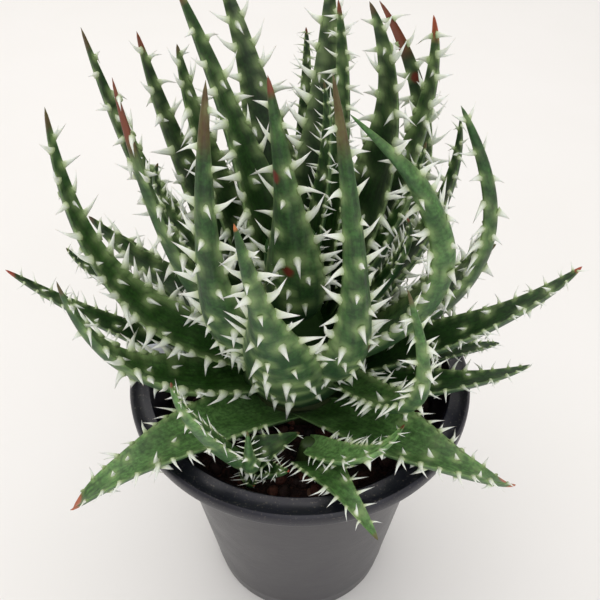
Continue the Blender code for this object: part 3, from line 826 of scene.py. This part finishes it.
class Blade:
    """The body of one leaf: a thick, channelled blade lofted along an arched midline."""

    ROOT_SHARE = 0.3
    ROOT_THICKNESS = 0.8
    WIDTH_TAPER = 0.64
    CUT_TAPER = 0.3  # of a leaf whose tip dried off short
    WAIST = 0.2  # how much narrower the drawn-out tip is than an even taper
    WAIST_GROWTH = 0.03  # and how much more so for each millimetre of width over 20
    WAIST_REACH = (0.3, 0.75)
    CHANNEL = 0.3
    WAIST_WIDTH = 20.0  # the width up to which a leaf has the plain waist
    ROOT_SINK = 3.0  # the root starts this far inside the head
    SEAT_GAP = 0.6  # the arch is drawn from this far outside the head
    ROOT_BLEND = 0.06  # the share over which the root turns from the head's normal
    FACE_UP = 0.8  # the upper face looks up by this much
    FACE_IN = 0.6  # and inwards by this much
    THICKNESS_TAPER = 0.6
    CUP = 0.08  # rise of the inner face's middle beside the thickness
    BELLY = 1.2  # of the outer face: 1 is an ellipse, more is thinner towards the margins
    CORNERS = 20
    STATIONS = 52
    CROWDING = 1.25  # of the stations towards the tip: 1 is evenly spaced
    LAST_STATION = 0.992
    # the steps along and round over which a normal is measured, and where it stops
    SHARE_STEP = 0.01
    TURN_STEP = 0.05
    LAST_NORMAL = 0.995

    def __init__(self, plan: LeafPlan) -> None:
        """Work out the midline of a planned leaf.

        Args:
            plan: where the leaf grows and how big it is.
        """
        self.plan = plan
        turn = math.radians(plan.heading)
        reach = plan.head.radius(plan.seat_height) - self.ROOT_SINK
        x, y = plan.head.centre
        self.seat = Vector(
            (x + reach * math.cos(turn), y + reach * math.sin(turn), plan.seat_height)
        )
        out = Vector((math.cos(turn), math.sin(turn), 0))
        true_seat = self.seat + out * (self.ROOT_SINK + self.SEAT_GAP)
        self.tip = Vector(plan.tip)
        self.arch = 2 * Vector(plan.middle) - (true_seat + self.tip) / 2
        outward = Vector(plan.middle) - Vector((x, y, 0.0))
        if plan.facing is not None:
            face = math.radians(plan.facing)
            outward = Vector((math.cos(face), math.sin(face), 0.0))
        outward.z = 0.0
        self.facing = Vector((0, 0, self.FACE_UP)) - self.FACE_IN * outward.normalized()
        legs = (self.arch - self.seat).length + (self.tip - self.arch).length
        self.length = (legs + (self.tip - self.seat).length) / 2

    def frame(self, share: float) -> tuple[Vector, Vector, Vector, Vector]:
        """Return the midline at a place.

        Args:
            share: the place, 0 at the seat and 1 at the tip.

        Returns:
            The point, and the directions along, across and up.
        """
        rest = 1.0 - share
        centre = rest * rest * self.seat + 2 * rest * share * self.arch + share * share * self.tip
        along = (rest * (self.arch - self.seat) + share * (self.tip - self.arch)).normalized()
        if share < self.ROOT_BLEND:
            root = self.plan.head.normal(self.plan.heading)
            along = root.lerp(along, share / self.ROOT_BLEND).normalized()
        upward = (self.facing - self.facing.dot(along) * along).normalized()
        return centre, along, along.cross(upward), upward

    def half_width(self, share: float) -> float:
        """Return half the blade's width.

        Args:
            share: place along the midline, 0 at the seat.

        Returns:
            The distance from the midline to a margin.
        """
        ease = max(1.0 - share / self.ROOT_SHARE, 0.0) ** 2
        drawn = self.WAIST + self.WAIST_GROWTH * max(self.plan.width - self.WAIST_WIDTH, 0.0)
        waist = 1 - drawn * smooth(share, *self.WAIST_REACH)
        root = 1 - (1 - self.plan.root_width) * ease
        taper = self.CUT_TAPER if self.plan.tip_colour is Tip.CUT else self.WIDTH_TAPER
        return self.plan.width / 2 * waist * (1 - share) ** taper * root

    def depth(self, share: float) -> float:
        """Return the blade's thickness.

        Args:
            share: place along the midline, 0 at the seat.

        Returns:
            The thickness in the middle of the section.
        """
        ease = max(1.0 - share / self.ROOT_SHARE, 0.0) ** 2
        taper = (1 - share) ** self.THICKNESS_TAPER
        return self.plan.thickness * taper * (1 - (1 - self.ROOT_THICKNESS) * ease)

    def point(self, share: float, turn: float) -> Vector:
        """Return a point of the surface.

        Args:
            share: place along the midline, 0 at the seat.
            turn: place round the section: 0 and pi are the margins, above pi is the outer face.

        Returns:
            The point, in millimetres.
        """
        centre, _, side, upward = self.frame(share)
        across = math.cos(turn)
        half, depth = self.half_width(share), self.depth(share)
        lift = self.CHANNEL * half * across * across
        bulge = math.sqrt(max(1 - across * across, 0.0))
        if turn <= math.pi:
            rise = lift + self.CUP * depth * bulge
        else:
            rise = lift - depth * bulge**self.BELLY
        return centre + side * half * across + upward * rise

    def normal(self, share: float, turn: float) -> Vector:
        """Return the outward normal of the surface, from the points beside one.

        Args:
            share: place along the midline, 0 at the seat.
            turn: place round the section.

        Returns:
            The normal, of unit length.
        """
        low, high = max(share - self.SHARE_STEP, 0.0), min(share + self.SHARE_STEP, self.LAST_NORMAL)
        down = self.point(high, turn) - self.point(low, turn)
        round_it = self.point(share, turn + self.TURN_STEP) - self.point(share, turn - self.TURN_STEP)
        return down.cross(round_it).normalized()

    def shares(self) -> list[float]:
        """List the stations, closer together towards the tip."""
        steps = [i / self.STATIONS for i in range(self.STATIONS + 1)]
        return [self.LAST_STATION * (1 - (1 - step) ** self.CROWDING) for step in steps]


class ToothedLeaf:
    """A whole leaf: its blade, its margin teeth, its prickles and its markings."""

    LAYERS = ("horn", "across", "along", "outer", "under", "tone", "halo", "blush", "hue", "scar")
    BEND_SHARE = 0.3  # where the bend of a leaf with rows of prickles ends
    TOOTH = 8.4  # length of a big leaf's longest teeth
    LAST_TOOTH = 0.975  # share of the leaf where its margin teeth end
    LAST_PRICKLE = 0.84  # and where its prickles end
    FORKED = 0.28  # share of the teeth that are double
    # length and root radius of a prickle, and of one of those in rows under the bend
    PRICKLE = (4.6, 2.0)
    BEND_PRICKLE = (3.2, 2.3)
    SPOTS = (-0.45, 0.4, 0.02, -0.58, 0.55, 0.12)  # places across that prickles take in turn
    ROW_SPREAD = 0.84  # share of the width that a row of prickles takes
    DOUBLE_WIDTH = 7.0  # half the width from which prickles stand two abreast
    SCAR_SIZE = 2.2
    HALO_REACH = 1.15  # of the pale skin round a tooth, beside its root's radius
    TONE_SWING = 0.08  # how much the tone drifts over a leaf
    MARGIN_FORMS = (SpineForm.SWEPT, SpineForm.HOOKED, SpineForm.HOOKED, SpineForm.STRAIGHT)
    FACE_FORMS = (SpineForm.STRAIGHT, SpineForm.SWEPT)

    def __init__(self, plan: LeafPlan, stamp: SpineStamp, seed: int) -> None:
        """Prepare a leaf.

        Args:
            plan: its place, size and colouring.
            stamp: the teeth's patterns.
            seed: what makes its teeth its own.
        """
        self.plan = plan
        self.blade = Blade(plan)
        self.stamp = stamp
        self.rng = random.Random(seed)

    def spines(self) -> Iterator[Spine]:
        """Grow the leaf's teeth.

        Yields:
            Every tooth of both margins, then every prickle of both faces.
        """
        for side in (0.0, math.pi):
            yield from self.margin(side)
        yield from self.prickles(True)
        yield from self.prickles(False)

    def tooth_length(self, share: float) -> float:
        """Return the length of a margin tooth: longest in the middle of the leaf."""
        full = self.TOOTH * self.plan.teeth
        return full * (0.65 + 0.35 * smooth(share, 0.05, 0.3)) * (1 - 0.4 * smooth(share, 0.65, 1.0))

    def stoutness(self, share: float) -> float:
        """Return how stout a tooth is there beside one near the seat."""
        return 1.1 - 0.35 * share

    def margin(self, turn: float) -> Iterator[Spine]:
        """Yield the curved teeth of one margin.

        Args:
            turn: the margin's place round the section.

        Yields:
            The teeth, from the seat to the tip.
        """
        rng, blade, plan = self.rng, self.blade, self.plan
        sign = 1 if turn == 0.0 else -1
        travel = 0.1 * blade.length + rng.uniform(0, 4)
        while travel < self.LAST_TOOTH * blade.length:
            share = travel / blade.length
            _, along, side, upward = blade.frame(share)
            lean = rng.gauss(0.28, 0.22)
            tilt = rng.gauss(0.05, 0.25)
            direction = (side * sign + along * lean + upward * tilt).normalized()
            length = self.tooth_length(share) * rng.uniform(0.8, 1.18)
            radius = (0.8 + 0.17 * length) * self.stoutness(share) * plan.teeth**2
            sweep = along * rng.choice((-1, 1, 1)) + upward * rng.uniform(-0.5, 0.4)
            form = rng.choice(self.MARGIN_FORMS)
            root = blade.point(share, turn)
            yield Spine(root, direction, sweep, length, radius, form)
            if rng.random() < self.FORKED:
                fork = (direction + along * rng.choice((-0.7, 0.7))).normalized()
                yield Spine(root, fork, sweep, 0.7 * length, 0.8 * radius, form)
            pitch = (5.0 + 6.5 * share) * plan.teeth**1.5
            travel += pitch * rng.uniform(0.75, 1.25)

    def prickles(self, outer: bool) -> Iterator[Spine]:
        """Yield the short conical prickles of one face.

        Args:
            outer: whether it is the outer face, which bears most of them.

        Yields:
            The prickles, from the seat to the tip.
        """
        rng, blade, plan = self.rng, self.blade, self.plan
        travel = (0.08 if outer else 0.3) * blade.length + rng.uniform(0, 4)
        number = rng.randrange(len(self.SPOTS))
        while travel < self.LAST_PRICKLE * blade.length:
            share = travel / blade.length
            bend = outer and plan.row > 2 and share < self.BEND_SHARE
            full, stout = self.BEND_PRICKLE if bend else self.PRICKLE
            stray = 0.028 if bend else 0.012
            if bend:
                count, pitch = plan.row, 9.5
            elif outer:
                count = 2 if blade.half_width(share) > self.DOUBLE_WIDTH else 1
                pitch = 6.5 + 5.0 * share
            else:
                count, pitch = 1, 12.0 + 6.0 * share
            for place in range(count):
                number += 1
                across = self.SPOTS[number % len(self.SPOTS)]
                if bend:
                    across = self.ROW_SPREAD * (2 * (place + 0.5) / count - 1)
                turn = math.acos(max(-1.0, min(1.0, across + rng.uniform(-0.12, 0.12))))
                turn = math.tau - turn if outer else turn
                spot = share + rng.uniform(-1, 1) * stray
                _, along, side, _ = blade.frame(spot)
                normal = blade.normal(spot, turn)
                lean = normal + along * rng.gauss(-0.1, 0.25) + side * rng.gauss(0, 0.2)
                size = rng.choice((0.8, 0.9, 1.0, 1.4)) * (1.0 if outer else 0.8) * plan.teeth
                length = full * size * (1 - 0.3 * share)
                radius = stout * size**0.75 * self.stoutness(share)
                form = rng.choice(self.FACE_FORMS)
                root = blade.point(spot, turn)
                yield Spine(root, lean.normalized(), -along, length, radius, form)
            travel += pitch / plan.prickles * (0.3 + 0.7 * plan.teeth) * rng.uniform(0.75, 1.25)

    def loft(self, bm: bmesh.types.BMesh, roots: list[Spine]) -> None:
        """Extrude the blade's section along its midline and mark its skin.

        Args:
            bm: the mesh that gets it.
            roots: the teeth, whose roots are paler.
        """
        blade, plan = self.blade, self.plan
        layers = {name: bm.verts.layers.float.new(name) for name in self.LAYERS}
        corner = bm.verts.layers.int.new("corner")
        shares = blade.shares()
        turns = [math.tau * i / blade.CORNERS for i in range(blade.CORNERS)]
        strength, start, hue = plan.tip_colour.value
        marks = [
            blade.point(along, math.tau - math.acos(across) if outer else math.acos(across))
            for along, across, outer in plan.scars
        ]

        def place(vert: bmesh.types.BMVert, share: float) -> None:
            """Move a corner to its station and write its markings.

            Args:
                vert: the corner.
                share: the station's place along the midline.
            """
            turn = turns[vert[corner]]
            vert.co = blade.point(share, turn)
            across = math.cos(turn)
            near = min(
                ((vert.co - spine.root).length / (self.HALO_REACH * spine.radius) for spine in roots),
                default=9,
            )
            vert[layers["across"]] = across * blade.half_width(share) * MM
            vert[layers["along"]] = share * blade.length * MM
            vert[layers["outer"]] = 1.0 if turn > math.pi else 0.5 if abs(across) > 0.99 else 0.0
            # how far the face looks down, which drives the painted shade under the leaf
            vert[layers["under"]] = smooth(-blade.normal(share, turn).z, -0.25, 0.45)
            vert[layers["tone"]] = plan.tone + self.TONE_SWING * noise.noise(vert.co * 0.06)
            vert[layers["halo"]] = 0.85 * math.exp(-near * near) + 0.15 * smooth(abs(across), 0.9, 1.0)
            vert[layers["blush"]] = strength * smooth(share, start, 0.6 * start + 0.4)
            vert[layers["hue"]] = hue
            spot = min(((vert.co - mark).length / self.SCAR_SIZE for mark in marks), default=9)
            vert[layers["scar"]] = math.exp(-spot * spot)

        ring = bmesh.ops.create_circle(bm, cap_ends=True, segments=blade.CORNERS, radius=1.0)
        for index, vert in enumerate(ring["verts"]):
            vert[corner] = index
            place(vert, shares[0])
        end = next(iter(bm.faces))
        for share in shares[1:]:
            end = grow_on(bm, end)
            for vert in end.verts:
                place(vert, share)
        bmesh.ops.pointmerge(bm, verts=end.verts[:], merge_co=blade.tip)
        bmesh.ops.recalc_face_normals(bm, faces=bm.faces)

    def build(self, skin: Finish, horn: Finish) -> bpy.types.Object:
        """Build the leaf.

        Args:
            skin: the blade's finish.
            horn: the teeth's finish.

        Returns:
            The finished piece.
        """
        teeth = list(self.spines())
        bm = bmesh.new()
        self.loft(bm, teeth)
        for spine in teeth:
            self.stamp.stamp(bm, spine)
        name = self.plan.name
        return finish_piece(f"toothed_{name}", bm, [skin, horn], "leaf_skin", (name,))


# ---------------------------------------------------------------- pot, fill and label


@dataclass(frozen=True)
class NurseryPot:
    """The moulded pot: foot ring, drained floor, tapered wall, flared rim with a skirt."""

    rim_radius: float = 65.0
    height: float = 120.0
    mouth_radius: float = 57.0
    collar_radius: float = 53.5
    collar_height: float = 110.0
    wall: float = 1.6
    foot_radius: float = 40.0
    foot_ring: float = 4.0
    floor_underside: float = 3.0
    floor_top: float = 5.0
    drain_count: int = 6
    drain_radius: float = 4.0
    drain_circle: float = 25.0
    segments: int = 144
    drain_segments: int = 32
    plug_height: float = 4.0  # of the middle of the plugs that cut the drain holes
    plug_depth: float = 8.0
    sharp_angle: float = 38.0  # edges steeper than this stay sharp

    def wall_radius(self, z: float) -> float:
        """Return the outside radius of the wall at height z."""
        return self.foot_radius + (self.collar_radius - self.foot_radius) * z / self.collar_height

    def profile(self) -> list[tuple[float, float]]:
        """List the pot's section, with every moulded edge rounded.

        Returns:
            Radius and height pairs, up the outside and down the inside.
        """
        ring = self.foot_radius - self.foot_ring
        skirt = self.height - 5.5
        flare = self.collar_height + 6.5
        top = self.height - 0.6
        rim, mouth, collar = self.rim_radius, self.mouth_radius, self.collar_radius
        return [
            (0.0, self.floor_underside),
            (ring - 1.6, self.floor_underside),
            (ring - 1.0, self.floor_underside - 0.3),
            (ring - 0.2, 0.3),
            (ring + 0.3, 0.0),
            (self.foot_radius - 0.9, 0.0),
            (self.foot_radius - 0.25, 0.25),
            (self.wall_radius(1.2), 1.2),
            (self.wall_radius(8.0), 8.0),
            (self.wall_radius(9.0) + 0.15, 9.0),
            (self.wall_radius(10.0), 10.0),
            (self.wall_radius(60.0), 60.0),
            (self.wall_radius(100.0), 100.0),
            (collar, self.collar_height),
            (collar + 0.5, self.collar_height + 2.2),
            (collar + 1.6, self.collar_height + 3.9),
            (collar + 2.9, self.collar_height + 5.6),
            (collar + 4.6, flare),
            (rim - 2.4, flare + 0.1),
            (rim - 2.05, flare - 0.3),
            (rim - 1.9, skirt + 0.3),
            (rim - 1.5, skirt),
            (rim - 0.7, skirt),
            (rim - 0.25, skirt + 0.3),
            (rim - 0.05, skirt + 0.9),
            (rim, skirt + 2.4),
            (rim - 0.08, self.height - 1.3),
            (rim - 0.45, self.height - 0.45),
            (rim - 1.1, self.height),
            (rim - 1.9, self.height - 0.1),
            (rim - 2.6, top),
            (mouth + 2.0, top),
            (mouth + 1.2, self.height - 0.1),
            (mouth + 0.6, self.height),
            (mouth + 0.15, self.height - 0.3),
            (mouth - 0.1, self.height - 1.0),
            (mouth - 1.6, self.height - 5.0),
            (collar - self.wall + 0.4, self.collar_height + 1.2),
            (collar - self.wall, self.collar_height - 1.0),
            (self.wall_radius(60.0) - self.wall, 60.0),
            (self.wall_radius(self.floor_top + 1) - self.wall, self.floor_top + 1.0),
            (self.wall_radius(self.floor_top) - self.wall - 1.0, self.floor_top),
            (0.0, self.floor_top),
        ]

    def drains(self) -> bmesh.types.BMesh:
        """Build the plugs that cut the drain holes.

        Returns:
            The plugs, in one mesh.
        """
        plugs = bmesh.new()
        for index in range(self.drain_count):
            turn = math.tau * index / self.drain_count
            x, y = self.drain_circle * math.cos(turn), self.drain_circle * math.sin(turn)
            bmesh.ops.create_cone(
                plugs, cap_ends=True, segments=self.drain_segments, radius1=self.drain_radius,
                radius2=self.drain_radius, depth=self.plug_depth,
                matrix=Matrix.Translation((x, y, self.plug_height)),
            )
        return plugs

    def build(self, finish: Finish) -> bpy.types.Object:
        """Build the pot and cut its drain holes.

        Args:
            finish: the pot's plastic.

        Returns:
            The finished piece.
        """
        section = spin_profile(self.profile(), self.segments)
        wall = add_object("wall", to_mesh("wall", section))
        plugs = add_object("plugs", to_mesh("plugs", self.drains()))
        holes = wall.modifiers.new("drain_holes", "BOOLEAN")
        holes.operation = "DIFFERENCE"
        holes.object = plugs
        bpy.context.view_layer.update()
        drained = bpy.data.meshes.new_from_object(
            wall.evaluated_get(bpy.context.evaluated_depsgraph_get())
        )
        bm = bmesh.new()
        bm.from_mesh(drained)
        for helper in (wall, plugs):
            bpy.data.objects.remove(helper)
        pot = finish_piece("moulded_pot", bm, [finish], "pot_plastic", ("pot",))
        pot.data.set_sharp_from_angle(angle=math.radians(self.sharp_angle))
        return pot


@dataclass(frozen=True)
class Fill:
    """The growing medium: a tapered plug with a rough top, and grit lying on it."""

    foot_radius: float = 38.3
    top_radius: float = 50.9
    foot: float = 5.3
    top: float = SOIL_TOP
    rings: int = 20
    ring_step: float = 2.4
    segments: int = 96
    stones: int = 340
    sizes: tuple[float, ...] = (1.3, 1.7, 2.1, 2.5, 2.9)
    seed: int = 71

    NODE = "growing_medium"  # the CAD's node, and the slot of the same name

    def build_mix(self, finish: Finish) -> bpy.types.Object:
        """Build the crumbly plug of growing mix.

        Args:
            finish: the mix it is made of.

        Returns:
            The finished piece.
        """
        rings = [(self.top_radius - self.ring_step * (i + 1), self.top) for i in range(self.rings)]
        profile = [
            (0.0, self.foot), (self.foot_radius, self.foot), (self.top_radius, self.top - 1.5),
            (self.top_radius - 0.8, self.top - 0.4), *rings, (0.0, self.top),
        ]
        bm = spin_profile(profile, self.segments)
        for vert in bm.verts:
            if vert.co.z > self.top - 1.0:
                crumb = noise.noise(vert.co * 0.16) * 1.1 + noise.noise(vert.co * 0.55) * 0.8
                vert.co.z += crumb - 0.2
        return finish_piece("crumbly_growing_mix", bm, [finish], self.NODE, (self.NODE,))

    def build_grit(self, finish: Finish) -> bpy.types.Object:
        """Build the stones that lie on the mix, each broken to its own shape.

        Args:
            finish: the stone they are made of.

        Returns:
            The finished piece.
        """
        rng = random.Random(self.seed)
        bm = bmesh.new()
        shade = bm.verts.layers.float.new("shade")
        for _ in range(self.stones):
            reach = (self.top_radius - 2.0) * math.sqrt(rng.uniform(0.12, 1.0))
            turn = rng.uniform(0, math.tau)
            size = rng.choice(self.sizes) * rng.uniform(0.85, 1.15)
            spot = Vector((reach * math.cos(turn), reach * math.sin(turn), self.top + 0.35 * size))
            stone = bmesh.ops.create_icosphere(bm, subdivisions=2, radius=size)["verts"]
            tint = min(max(rng.gauss(0.42, 0.25), 0.0), 1.0)
            offset = Vector((rng.uniform(0, 99), rng.uniform(0, 99), rng.uniform(0, 99)))
            squash = Vector((1.0, rng.uniform(0.7, 1.0), rng.uniform(0.55, 0.85)))
            spin = Matrix.Rotation(rng.uniform(0, math.tau), 3, "Z")
            spin = spin @ Matrix.Rotation(rng.uniform(-0.5, 0.5), 3, "X")
            for vert in stone:
                chip = 1 + 0.38 * noise.noise(vert.co * (1.1 / size) + offset)
                vert.co = spot + spin @ (vert.co * chip * squash)
                vert[shade] = tint
        return finish_piece("lava_grit_on_top", bm, [finish], self.NODE, (self.NODE,))


@dataclass(frozen=True)
class StakeLabel:
    """The blank plastic label: a thin stake with a point and rounded top corners."""

    width: float = 9.0
    thickness: float = 0.8
    length: float = 50.0
    point: float = 9.0
    corner: float = 1.5
    top: tuple[float, float, float] = (-53.5, -2.5, 135.0)
    lean: float = 15.0
    bevel: float = 0.12
    rim_angle: float = 1.4  # edges turning by more than this are bevelled
    sharp_angle: float = 40.0  # edges steeper than this stay sharp

    def build(self, finish: Finish) -> bpy.types.Object:
        """Build the label, leaning outwards against the pot's wall.

        Args:
            finish: the label's plastic.

        Returns:
            The finished piece.
        """
        half, corner = self.width / 2, self.corner
        arc = [math.radians(a) for a in (0, 30, 60, 90)]
        right = [(half - corner + corner * math.cos(a), corner * math.sin(a) - corner) for a in arc]
        left = [(-x, z) for x, z in reversed(right)]
        straight = self.length - self.point - corner
        steps = [self.point - self.length + straight * i / 8 for i in range(8)]
        outline = [(0.0, -self.length), *[(half, z) for z in steps], *right, *left,
                   *[(-half, z) for z in reversed(steps)]]
        bm = bmesh.new()
        face = bm.faces.new([bm.verts.new((x, self.thickness / 2, z)) for x, z in outline])
        front = bmesh.ops.extrude_face_region(bm, geom=[face])["geom"]
        moved = [part for part in front if isinstance(part, bmesh.types.BMVert)]
        bmesh.ops.translate(bm, vec=(0.0, -self.thickness, 0.0), verts=moved)
        bmesh.ops.recalc_face_normals(bm, faces=bm.faces)
        rims = [edge for edge in bm.edges if abs(edge.calc_face_angle(0.0)) > self.rim_angle]
        bmesh.ops.bevel(
            bm, geom=rims, offset=self.bevel, segments=2, profile=0.5, affect="EDGES", material=-1
        )
        bmesh.ops.rotate(
            bm, verts=bm.verts, cent=(0, 0, 0),
            matrix=Matrix.Rotation(-math.radians(self.lean), 3, "Y"),
        )
        bmesh.ops.translate(bm, vec=self.top, verts=bm.verts)
        label = finish_piece("blank_stake_label", bm, [finish], "label_plastic", ("plant_label",))
        label.data.set_sharp_from_angle(angle=math.radians(self.sharp_angle))
        return label


# ---------------------------------------------------------------- the stage


@dataclass(frozen=True)
class Softbox:
    """A square lamp: where it hangs and its side in metres, its power in watts and its tint."""

    name: str
    place: tuple[float, float, float]
    size: float
    power: float
    tint: str

    def hang(self, target: Vector) -> None:
        """Hang the lamp.

        Args:
            target: what it faces.
        """
        lamp = bpy.data.lights.new(self.name, "AREA")
        lamp.size = self.size
        lamp.energy = self.power
        lamp.color = linear(self.tint)[:3]
        place = Vector(self.place)
        turn = (target - place).to_track_quat("-Z", "Y").to_matrix().to_4x4()
        add_object(self.name, lamp).matrix_world = Matrix.Translation(place) @ turn


@dataclass(frozen=True)
class Studio:
    """The pale board, the soft light and the camera."""

    board_size: float = 6.0
    eye: tuple[float, float, float] = (0.0, -0.181, 0.3176)
    look_down: float = 42.0
    lens: float = 41.4
    near_clip: float = 0.005
    sky_levels: tuple[float, float] = (0.5, 1.1)
    target: tuple[float, float, float] = (0.0, 0.0, 0.12)
    lamps: tuple[Softbox, ...] = (
        Softbox("window", (-0.25, 0.48, 1.2), 1.6, 7.0, "fffdfa"),
        Softbox("fill", (0.35, -1.1, 0.6), 1.4, 5.0, "f8faff"),
    )

    def add_board(self) -> None:
        """Lay the board that the pot stands on."""
        bm = bmesh.new()
        bmesh.ops.create_grid(bm, x_segments=8, y_segments=8, size=self.board_size / 2)
        board = add_object("pale_board", to_mesh("pale_board", bm))
        board.data.materials.append(PaleBoard().material)

    def add_sky(self) -> None:
        """Surround the scene with a soft light that grows from the horizon to the zenith."""
        world = bpy.data.worlds.new("soft_daylight")
        world.use_nodes = True
        tree = world.node_tree
        direction = add_node(tree, "TexCoord").outputs["Generated"]
        height = add_node(tree, "SeparateXYZ", {0: direction}).outputs[2]
        links = {0: height, 3: self.sky_levels[0], 4: self.sky_levels[1]}
        level = add_node(tree, "MapRange", links).outputs[0]
        back = tree.nodes["Background"]
        back.inputs["Color"].default_value = linear("f8f6f4")
        tree.links.new(level, back.inputs["Strength"])
        bpy.context.scene.world = world

    def add_camera(self) -> None:
        """Set the camera over the front of the pot, looking down."""
        camera = bpy.data.cameras.new("camera")
        camera.lens = self.lens
        camera.clip_start = self.near_clip
        holder = add_object("camera", camera)
        holder.location = self.eye
        holder.rotation_euler = (math.radians(90 - self.look_down), 0.0, 0.0)
        bpy.context.scene.camera = holder

    def build(self) -> None:
        """Build the whole stage."""
        self.add_board()
        self.add_sky()
        for lamp in self.lamps:
            lamp.hang(Vector(self.target))
        self.add_camera()
        view = bpy.context.scene.view_settings
        view.view_transform = "Standard"
        view.look = "None"


def main() -> None:
    """Build the plant, its pot and the stage."""
    LOG.info("packed part: %d nodes", len(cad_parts))
    Studio().build()
    NurseryPot().build(PotPolypropylene())
    fill = Fill()
    fill.build_mix(PeatMix())
    fill.build_grit(LavaGrit())
    StakeLabel().build(LabelPolystyrene())
    tissue = LeafBaseSkin()
    for head in (MAIN, WEST, SOUTH):
        head.build(tissue)
    skin, horn, stamp = AloeSkin(), ToothHorn(), SpineStamp()
    for seed, plan in enumerate(LEAVES):
        ToothedLeaf(plan, stamp, FIRST_SEED + seed).build(skin, horn)


if __name__ == "__main__":
    logging.basicConfig(level=logging.INFO, format="%(name)s: %(message)s")
    main()
